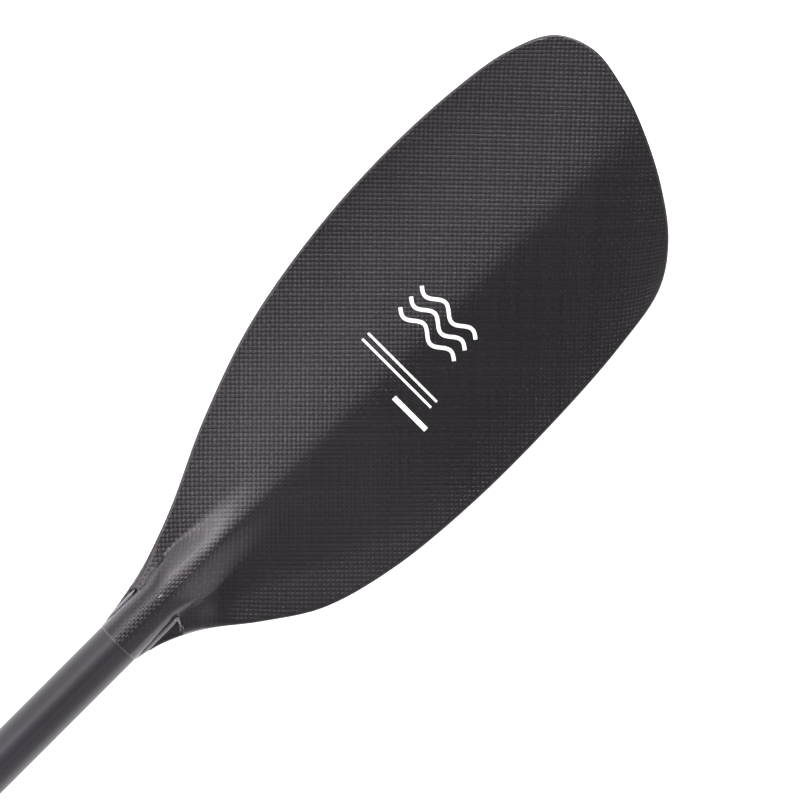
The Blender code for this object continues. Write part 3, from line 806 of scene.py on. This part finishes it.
# %% Fittings' finishes
def grained(name, dark, light, grain_mm, depth_mm, gloss, **values):
    """A surface with a fine grain in its colour, gloss and relief."""
    made, tree, shader = finish_named(name, **values)
    at_rest = add(tree, "ShaderNodeTexCoord").outputs["Object"]
    grain = noise(tree, 1 / (grain_mm * MM), 3.0, Vector=at_rest)
    rough = add(tree, "ShaderNodeMapRange", {
        "Value": grain, "To Min": gloss[0], "To Max": gloss[1]}).outputs[0]
    feed(tree, shader, Base_Color=mixed(tree, grain, dark, light), Roughness=rough,
         Normal=relief(tree, grain, depth_mm, 0.7))
    return made


nylon = grained("nylon_glass_filled_moulded", "#161618", "#2c2c30", 0.6, 0.04, (0.42, 0.6))
alloy = grained("aluminium_anodised_black", "#3a3b40", "#54555b", 0.3, 0.01, (0.28, 0.42), Metallic=1.0)
steel = grained("stainless_steel_turned", "#a9a8a5", "#cfcecb", 0.25, 0.008, (0.2, 0.34), Metallic=1.0)
edge_resin = grained("epoxy_edge_sanded", "#1d1a1d", "#322d32", 0.8, 0.01, (0.35, 0.5), IOR=1.55)
ink = grained("white_print_lacquer", "#f2f2f4", "#ffffff", 1.2, 0.004, (0.3, 0.42))
print("fittings' finishes", nylon.name, alloy.name, steel.name, edge_resin.name, ink.name)

# %% [markdown]
# With these finishes ready, the foam cores and the edge bands take their places.

# %% Cores and bands
blade_cores(foam_finish)
edge_bands(edge_resin)

# %% [markdown]
# The blade's print is a plain mark of three waves with stripes below it. Screen ink stands about
# 0.1 mm proud, so each stroke is a thin ribbon that follows the curved face, sunk a little into
# it so that no gap shows underneath.

# %% Printed stripes
INK_PROUD, INK_SUNK = 0.12, 0.25
WAVES, WAVE_START, WAVE_SPACING = 3, 285.0, 10.0
WAVE_SWING, WAVE_REACH, WAVE_WIDTH, WAVE_STEPS = 3.2, 25.0, 2.6, 60
STRIPE_STEPS = 50
STRIPES = [(258.0, 28.0, -36.0, 1.6), (252.6, 28.0, -36.0, 1.6), (240.0, -14.0, -44.0, 3.4)]


def stroke(name, line, width, way):
    """A ribbon of ink along (station, across) points on one blade's power face."""
    points = []
    for index, point in enumerate(line):
        ahead = (line[min(index + 1, len(line) - 1)] - line[max(index - 1, 0)]).normalized()
        sideways = Vector((-ahead.y, ahead.x)) * width / 2
        for place, rise in ((point + sideways, INK_PROUD), (point - sideways, INK_PROUD),
                            (point - sideways, -INK_SUNK), (point + sideways, -INK_SUNK)):
            points.append(Vector((way * (MOUTH + place.x), place.y, front(place.x, place.y) + rise)))
    made = shape_object(name, points, strip_faces(len(line), 4), ink)
    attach(made, "right_half" if way > 0 else "left_half")


for hand, way in HANDS:
    for wave in range(WAVES):
        line = []
        for step in range(WAVE_STEPS + 1):
            across = WAVE_REACH * (1 - 2 * step / WAVE_STEPS)
            swing = WAVE_SWING * math.sin(across / WAVE_REACH * 2 * math.pi)
            line.append(Vector((WAVE_START + WAVE_SPACING * wave + swing, across)))
        stroke(hand + "_print_wave_%d" % (wave + 1), line, WAVE_WIDTH, way)
    for number, (station, start, end, width) in enumerate(STRIPES):
        line = [Vector((station, start + (end - start) * step / STRIPE_STEPS))
                for step in range(STRIPE_STEPS + 1)]
        stroke(hand + "_print_stripe_%d" % (number + 1), line, width, way)
print("print", WAVES + len(STRIPES), "strokes on each blade")

# %% [markdown]
# Flat pieces are an outline, pulled out to their thickness. Pieces with slots and holes are cut
# with tools that are removed afterwards, and a narrow bevel takes the sharpness off their edges,
# as a mould or a file does.

# %% Pulling and cutting
def pulled(name, axis, outline, start, end, finish=None):
    """An outline in the plane across X or Y, pulled out along that axis."""
    count = len(outline)
    points = [Vector((level, *point) if axis == "X" else (point[0], level, point[1]))
              for level in (start, end) for point in outline]
    faces = [tuple(range(count)), tuple(range(count, 2 * count))]
    faces += [(step, (step + 1) % count, count + (step + 1) % count, count + step) for step in range(count)]
    return shape_object(name, points, faces, finish)


def box_of(low, high):
    """A cutting box between two corners."""
    outline = [(low[1], low[2]), (high[1], low[2]), (high[1], high[2]), (low[1], high[2])]
    return pulled("cutter", "X", outline, low[0], high[0])


def carved(piece, joined=(), cut=(), bevel=0.0):
    """The piece joined with some tools and cut by others, then bevelled, as one clean mesh."""
    for tools, operation in ((joined, "UNION"), (cut, "DIFFERENCE")):
        for tool in tools:
            step = piece.modifiers.new(operation, "BOOLEAN")
            step.operation, step.solver, step.object = operation, "EXACT", tool
    if bevel:
        edges = piece.modifiers.new("edges", "BEVEL")
        edges.width, edges.segments, edges.limit_method = bevel * MM, 2, "ANGLE"
        edges.angle_limit = math.radians(40)
        edges.use_clamp_overlap = True
    bpy.context.view_layer.update()
    finished = bpy.data.meshes.new_from_object(piece.evaluated_get(bpy.context.evaluated_depsgraph_get()))
    piece.modifiers.clear()
    piece.data = finished
    for tool in (*joined, *cut):
        bpy.data.objects.remove(tool, do_unlink=True)
    return piece

# %% [markdown]
# The shaft is two tubes of wrapped carbon. The left one is slit at its end so that the collar can
# squeeze it. Bulkheads of foam keep water out, and a spigot joins each tube to its blade.

# %% Shafts, spigots and plugs
WALL = 1.5                           # of the carbon tubes
BORE = SHAFT_RADIUS - WALL
INSERT_RADIUS = BORE - FIT
INSERT_BORE = INSERT_RADIUS - WALL
RING_WIDTH, LEFT_END = 6.0, -5.0
RIGHT_END = RING_WIDTH + FIT
SLIT_END, SLIT_HALF = -46, 1.2
SPIGOT_BACK, SPIGOT_REACH, SPIGOT_BORE = 45, 33, 11.5   # into the shaft, into the neck
PLUG_BEVEL = 0.8


def tube_profile(start, end, outer, inner, chamfer=0.25):
    """Profile of a tube with its outer edges broken."""
    return [(start, inner), (start, outer - chamfer), (start + chamfer, outer), (end - chamfer, outer),
            (end, outer - chamfer), (end, inner)]


right_tube = turned("right_shaft_wrapped", tube_profile(RIGHT_END, MOUTH - FIT, SHAFT_RADIUS, BORE),
                    shaft_finish)
fitted(right_tube, "right_shaft", "right_half")
left_tube = turned("left_shaft_wrapped", tube_profile(-MOUTH + FIT, LEFT_END, SHAFT_RADIUS, BORE),
                   shaft_finish)
carved(left_tube, cut=[box_of((SLIT_END, -SLIT_HALF, 5), (0, SLIT_HALF, SHAFT_RADIUS + 5))])
fitted(left_tube, "left_shaft", "left_half")
for hand, way in HANDS:
    reach = NECK_RADIUS - SKIN - 2 * FIT
    back, front_end = MOUTH - SPIGOT_BACK, MOUTH + SPIGOT_REACH
    profile = [(back, SPIGOT_BORE), (back, INSERT_RADIUS), (MOUTH + FIT, INSERT_RADIUS),
               (MOUTH + FIT, reach), (front_end, reach), (front_end, SPIGOT_BORE)]
    profile = [(way * x, radius) for x, radius in profile]
    spigot = turned(hand + "_neck_spigot_turned", profile, inner_finish)
    fitted(spigot, hand + "_neck_spigot", hand + "_half")
for name, start, end, radius, body in (("insert_foam_plug", -150, -115, INSERT_BORE - FIT, "right_half"),
                                       ("left_bulkhead_plug", -235, -200, BORE - FIT, "left_half")):
    profile = [(start, 0), (start, radius - PLUG_BEVEL), (start + PLUG_BEVEL, radius),
               (end - PLUG_BEVEL, radius), (end, radius - PLUG_BEVEL), (end, 0)]
    fitted(turned(name + "_cut", profile, foam_finish, ring=False, sides=64), name, body)

# %% [markdown]
# The ferrule joins the halves. Its carbon insert is bonded in the right shaft and has a groove
# underneath for the scale ring's key. The ring's flange carries moulded ticks, one every fifteen
# degrees with a longer one at each thirty, and is read against the collar.

# %% Insert and feather ring
INSERT_REACH, INSERT_BOND, RING_RADIUS = 165.0, 54.0, 17.5
insert_profile = tube_profile(-INSERT_REACH, RIGHT_END + INSERT_BOND, INSERT_RADIUS, INSERT_BORE)
insert = turned("ferrule_insert_wrapped", insert_profile, inner_finish)
carved(insert, cut=[box_of((-INSERT_REACH - 5, -1.5, -INSERT_RADIUS - 1),
                           (RIGHT_END - 0.1, 1.5, -INSERT_RADIUS + 0.9))])
fitted(insert, "ferrule_insert", "right_half")

head = -INSERT_REACH - FIT
cap_profile = [(head, 0), (head, INSERT_RADIUS), (head - 3.4, INSERT_RADIUS),
               (head - 5.6, INSERT_RADIUS - 0.7),
               (head - 7.2, INSERT_RADIUS - 2.2), (head - 8, INSERT_RADIUS - 4.5), (head - 8, 0)]
fitted(turned("insert_end_cap_moulded", cap_profile, nylon, ring=False), "insert_end_cap",
       "right_half")

ring_bore = INSERT_RADIUS + FIT
ring_profile = [(-4.2, ring_bore), (-4.2, 16.0), (-4.0, 16.2), (-2.6, 16.2), (-2.4, 16.0), (-2.4, 15.2),
                (0, 15.2), (0, RING_RADIUS - 0.6), (0.18, RING_RADIUS - 0.18), (0.6, RING_RADIUS),
                (RING_WIDTH - 0.6, RING_RADIUS), (RING_WIDTH - 0.18, RING_RADIUS - 0.18),
                (RING_WIDTH, RING_RADIUS - 0.6), (RING_WIDTH, ring_bore)]
ring = turned("feather_ring_moulded", ring_profile, nylon)
TICK_START, TICK_LONG, TICK_SHORT, TICK_HALF, TICK_DEPTH = 0.9, 3.4, 2.0, 0.25, 0.35
axis_lift = Matrix.Translation((0, 0, AXIS_Z))
ticks = []
for turn_deg in range(0, 360, 15):
    length = TICK_LONG if turn_deg % 30 == 0 else TICK_SHORT
    tick = box_of((TICK_START, -TICK_HALF, RING_RADIUS - TICK_DEPTH),
                  (TICK_START + length, TICK_HALF, RING_RADIUS + 2))
    tick_turn = Matrix.Rotation(math.radians(turn_deg), 4, "X")
    tick.data.transform(axis_lift @ tick_turn @ axis_lift.inverted())
    ticks.append(tick)
key = box_of((-4.1, -1.2, -ring_bore - 0.6), (RING_WIDTH - 0.1, 1.2, -INSERT_RADIUS + 0.6))
fitted(carved(ring, joined=[key], cut=ticks), "feather_ring", "feather_ring")

# %% [markdown]
# The clamp collar is injection moulded in glass-filled nylon: a ring with two ears, slotted
# between them, and a flat pad underneath where the mould's gate was. Four shallow grooves cross
# the pad.

# %% Clamp collar
COLLAR_RADIUS, COLLAR_LENGTH, COLLAR_END = 19.0, 34.0, -0.3
COLLAR_BORE = SHAFT_RADIUS + FIT
CLAMP_MID = COLLAR_END - COLLAR_LENGTH / 2
EAR_FACE, EAR_HALF, STUD_HEIGHT = 8.0, 9.5, 24.5
STUD_RADIUS, STUD_HOLE = 2.5, 2.8


def stud_drill(first, last):
    """A tool that drills the stud's hole from one place across the shaft to another."""
    return pulled("drill", "Y", circle((CLAMP_MID, STUD_HEIGHT), STUD_HOLE, 48), first, last)


start = COLLAR_END - COLLAR_LENGTH
collar_profile = [(start, COLLAR_BORE), (start, COLLAR_RADIUS - 1.0), (start + 0.3, COLLAR_RADIUS - 0.3),
                  (start + 1.0, COLLAR_RADIUS), (COLLAR_END - 1.0, COLLAR_RADIUS),
                  (COLLAR_END - 0.3, COLLAR_RADIUS - 0.3), (COLLAR_END, COLLAR_RADIUS - 1.0),
                  (COLLAR_END, COLLAR_BORE), (-2.0, COLLAR_BORE), (-2.0, 16.6), (-4.6, 16.6),
                  (-4.6, COLLAR_BORE)]
collar = turned("clamp_collar_moulded", collar_profile, nylon)
ear_top = STUD_HEIGHT + 6.5
ear_outline = [(CLAMP_MID - EAR_HALF, 16.4), (CLAMP_MID + EAR_HALF, 16.4)]
ear_outline += arc((CLAMP_MID, ear_top - EAR_HALF), EAR_HALF, 0, 180, 32)
ears = pulled("ears", "Y", ear_outline, -EAR_FACE, EAR_FACE)
pad = box_of((CLAMP_MID - 11, -9, -19.5), (CLAMP_MID + 11, 9, -16.3))
slot_tool = box_of((start - 5, -1.5, 10), (5, 1.5, ear_top + 5))
grooves = [box_of((CLAMP_MID + gap - 0.4, -6.5, -20.5), (CLAMP_MID + gap + 0.4, 6.5, -19.1))
           for gap in (-6, -2, 2, 6)]
carved(collar, joined=[ears, pad], cut=[slot_tool, stud_drill(-20, 20)] + grooves, bevel=0.35)
fitted(collar, "clamp_collar", "left_half")

# %% [markdown]
# The clamp's metal: a stainless stud crosses the ears. A knurled aluminium nut sets the clamping
# force, a hardened washer takes the rub of the cams, and the lever turns on an aluminium barrel.

# %% Stud, nut, washer and barrel
CAM_RADIUS, CAM_OFFSET, BARREL_RADIUS, WASHER = 6.8, 1.2, 4.0, 2.0
BARREL_HALF, HANDLE_HALF, FORK_HALF = 8.8, 8.5, 3.4
PIVOT_Y = EAR_FACE + WASHER + 2 * FIT + CAM_RADIUS + CAM_OFFSET
NUT_FACE = -EAR_FACE - FIT


def round_the_stud(name, profile, finish, sides, hole=True):
    """A profile of (y, radius) points swept round the stud's axis."""
    made = turned(name, profile, finish, ring=hole, sides=sides)
    for corner in made.data.vertices:
        x, y, z = corner.co.x, corner.co.y, corner.co.z - AXIS_Z
        corner.co = Vector((CLAMP_MID * MM + y, x, STUD_HEIGHT * MM + AXIS_Z + z))
    made.data.flip_normals()
    return made


stud_start, stud_end = NUT_FACE - 8, PIVOT_Y + BARREL_RADIUS + 0.6
stud_profile = [(stud_start, 0), (stud_start, STUD_RADIUS - 0.5), (stud_start + 0.5, STUD_RADIUS)]
thread = stud_start + 0.9
while thread < stud_start + 8.5:
    stud_profile += [(thread, STUD_RADIUS), (thread + 0.2, STUD_RADIUS - 0.25), (thread + 0.4, STUD_RADIUS)]
    thread += 0.8
stud_profile += [(stud_end - 0.5, STUD_RADIUS), (stud_end, STUD_RADIUS - 0.5), (stud_end, 0)]
fitted(round_the_stud("tension_stud_threaded", stud_profile, steel, 48, hole=False), "tension_stud",
       "left_half")

nut_profile = [(NUT_FACE - 7, STUD_HOLE), (NUT_FACE - 7, 5.6), (NUT_FACE - 6.4, 6.2), (NUT_FACE - 0.6, 6.2),
               (NUT_FACE, 5.6), (NUT_FACE, STUD_HOLE)]
nut = round_the_stud("adjusting_nut_knurled", nut_profile, alloy, 120)
for corner in nut.data.vertices:
    out = corner.co.xz - Vector((CLAMP_MID * MM, STUD_HEIGHT * MM + AXIS_Z))
    if out.length > 5 * MM and math.cos(30 * math.atan2(out.y, out.x)) < 0:
        out = out * (1 - 0.35 * MM / out.length)
        corner.co.x, corner.co.z = CLAMP_MID * MM + out.x, STUD_HEIGHT * MM + AXIS_Z + out.y
fitted(nut, "adjusting_nut", "left_half")

washer_start = EAR_FACE + FIT
washer_outline = []
for corner_x, corner_z, first in ((7.5, 5.3, 0), (-7.5, 5.3, 90), (-7.5, -5.3, 180), (7.5, -5.3, 270)):
    washer_outline += arc((CLAMP_MID + corner_x, STUD_HEIGHT + corner_z), 1.0, first, first + 90, 8)
washer = pulled("cam_washer_pressed", "Y", washer_outline, washer_start, washer_start + WASHER, steel)
fitted(carved(washer, cut=[stud_drill(0, 30)], bevel=0.25), "cam_washer", "left_half")

barrel = pulled("lever_barrel_turned", "X", circle((PIVOT_Y, STUD_HEIGHT), BARREL_RADIUS, 64),
                CLAMP_MID - BARREL_HALF, CLAMP_MID + BARREL_HALF, alloy)
carved(barrel, cut=[stud_drill(0, 40)], bevel=0.3)
fitted(barrel, "lever_barrel", "left_half")

# %% [markdown]
# The lever is moulded too. Two cams on the barrel press the washer when it is shut, and its
# handle follows the collar's curve down to a lip that a thumb can lift. Four shallow grooves
# across the handle give it grip.

# %% Cam lever
inner, outer = COLLAR_RADIUS + 1.3, COLLAR_RADIUS + 5.0
lever_outline = [(17.9, -15.2), (19.3, -15.5), (20.6, -15.6)]
lever_outline += arc((0, 0), outer, -31, 20, 24)
lever_outline += arc((PIVOT_Y - CAM_OFFSET, STUD_HEIGHT), CAM_RADIUS, -20, 215, 48)
lever_outline += arc((0, 0), inner, 47, -36, 32)
handle = pulled("clamp_lever_moulded", "X", lever_outline, CLAMP_MID - HANDLE_HALF, CLAMP_MID + HANDLE_HALF,
                nylon)
slot_tool = box_of((CLAMP_MID - FORK_HALF, PIVOT_Y - 12, STUD_HEIGHT - 7),
                   (CLAMP_MID + FORK_HALF, PIVOT_Y + 12, STUD_HEIGHT + 12))
pivot_tool = pulled("pivot_tool", "X", circle((PIVOT_Y, STUD_HEIGHT), BARREL_RADIUS + FIT, 64),
                    CLAMP_MID - 12, CLAMP_MID + 12)
grips = []
for grip_deg in (-26, -20, -14, -8):
    lean = math.radians(grip_deg)
    grip = circle((outer * math.cos(lean) + 0.35, outer * math.sin(lean)), 0.8, 16)
    grips.append(pulled("grip", "X", grip, CLAMP_MID - 6.0, CLAMP_MID + 6.0))
carved(handle, cut=[slot_tool, pivot_tool] + grips, bevel=0.5)
fitted(handle, "clamp_lever", "lever")

# %% [markdown]
# The floor is a sheet of white studio paper. It glows a little, as paper does when it is lit from
# below as well, so that the paddle's own soft shadow doesn't grey it.

# %% Floor
FLOOR_SIZE = 24.0
bpy.ops.mesh.primitive_plane_add(size=FLOOR_SIZE)
floor = bpy.context.object
floor.name = "floor"
floor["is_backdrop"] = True
paper, tree, shader = finish_named(
    "white_paper_floor", Roughness=0.9, Emission_Color=colour("#ffffff"), Emission_Strength=0.75)
feed(tree, shader, Base_Color=mixed(tree, noise(tree, 3.0, 3.0), "#e9e9eb", "#f4f4f5"))
floor.data.materials.append(paper)
print("floor", FLOOR_SIZE, "m wide")

# %% [markdown]
# The light is a studio seen as a sky: dim straight overhead, where the camera hangs from a dark
# ceiling, and bright to one side, where a big soft light stands. Two ramps over the angle from
# straight up, one across the shaft and one along it, multiply to the brightness from everywhere.
# One small hard lamp is added, because the glossy crowns of the weave need something to sparkle in.

# %% Light
SKY_ACROSS = [(-90, 0.8), (-60, 0.9), (-30, 0.85), (-20, 0.6), (-12, 0.33), (-8, 0.28), (-4, 0.33),
              (0, 0.46), (6, 0.55), (12, 0.66), (18, 1.45), (24, 2.9), (30, 3.9), (38, 3.2), (50, 2.0),
              (65, 1.5), (90, 1.2)]
SKY_ALONG = [(-90, 1.3), (-40, 1.2), (-20, 0.95), (-12, 0.85), (-4, 0.85), (0, 0.9), (8, 1.05), (16, 1.35),
             (24, 1.5), (40, 1.7), (90, 1.4)]
LAMP_LEAN, LAMP_RADIUS, LAMP_LEVEL = math.radians(14.5), math.radians(1.6), 26.0

world = bpy.data.worlds.new("studio")
world.use_nodes = True
bpy.context.scene.world = world
tree = world.node_tree


def sky_ramp(side, table):
    """Brightness from 0 to 1 by the angle from straight up towards one side."""
    lean = add(tree, "ShaderNodeMath", {0: side, 1: way[2]}, operation="ARCTAN2").outputs[0]
    share = add(tree, "ShaderNodeMapRange", {
        "Value": lean, "From Min": -math.pi / 2, "From Max": math.pi / 2}).outputs[0]
    ramp = add(tree, "ShaderNodeValToRGB", {0: share})
    ramp.color_ramp.interpolation = "EASE"
    stops = ramp.color_ramp.elements
    while len(stops) < len(table):
        stops.new(0.5)
    highest = max(level for _, level in table)
    for stop, (angle, level) in zip(stops, table):
        stop.position = 0.5 + angle / 180
        stop.color = (level / highest,) * 3 + (1,)
    return ramp.outputs[0], highest


towards = add(tree, "ShaderNodeTexCoord").outputs["Generated"]
way = add(tree, "ShaderNodeSeparateXYZ", {0: towards}).outputs
across_sky, across_top = sky_ramp(way[1], SKY_ACROSS)
along_sky, along_top = sky_ramp(way[0], SKY_ALONG)
both = add(tree, "ShaderNodeMath", {0: across_sky, 1: along_sky}, operation="MULTIPLY").outputs[0]
lamp = Vector((0, math.sin(LAMP_LEAN), math.cos(LAMP_LEAN)))
facing = add(tree, "ShaderNodeVectorMath", {0: towards, 1: lamp},
             operation="DOT_PRODUCT").outputs["Value"]
disc = add(tree, "ShaderNodeMapRange", {
    "Value": facing, "From Min": math.cos(LAMP_RADIUS * 1.2), "From Max": math.cos(LAMP_RADIUS),
    "To Max": LAMP_LEVEL / (across_top * along_top)}).outputs[0]
lit = add(tree, "ShaderNodeMath", {0: both, 1: disc}, operation="ADD").outputs[0]
tree.links.new(lit, tree.nodes["Background"].inputs["Color"])
tree.nodes["Background"].inputs["Strength"].default_value = across_top * along_top
bpy.context.scene.view_settings.view_transform = "Standard"
print("brightest part of the sky", round(across_top * along_top, 2))

# %% [markdown]
# The sizes of the working model and of the dressed one are printed side by side.

# %% Sizes and finish
dressed_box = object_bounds()
for label, (low, high) in (("frame", cad_box), ("dressed", dressed_box)):
    print(label, [round(value / MM, 1) for value in high - low], "mm")
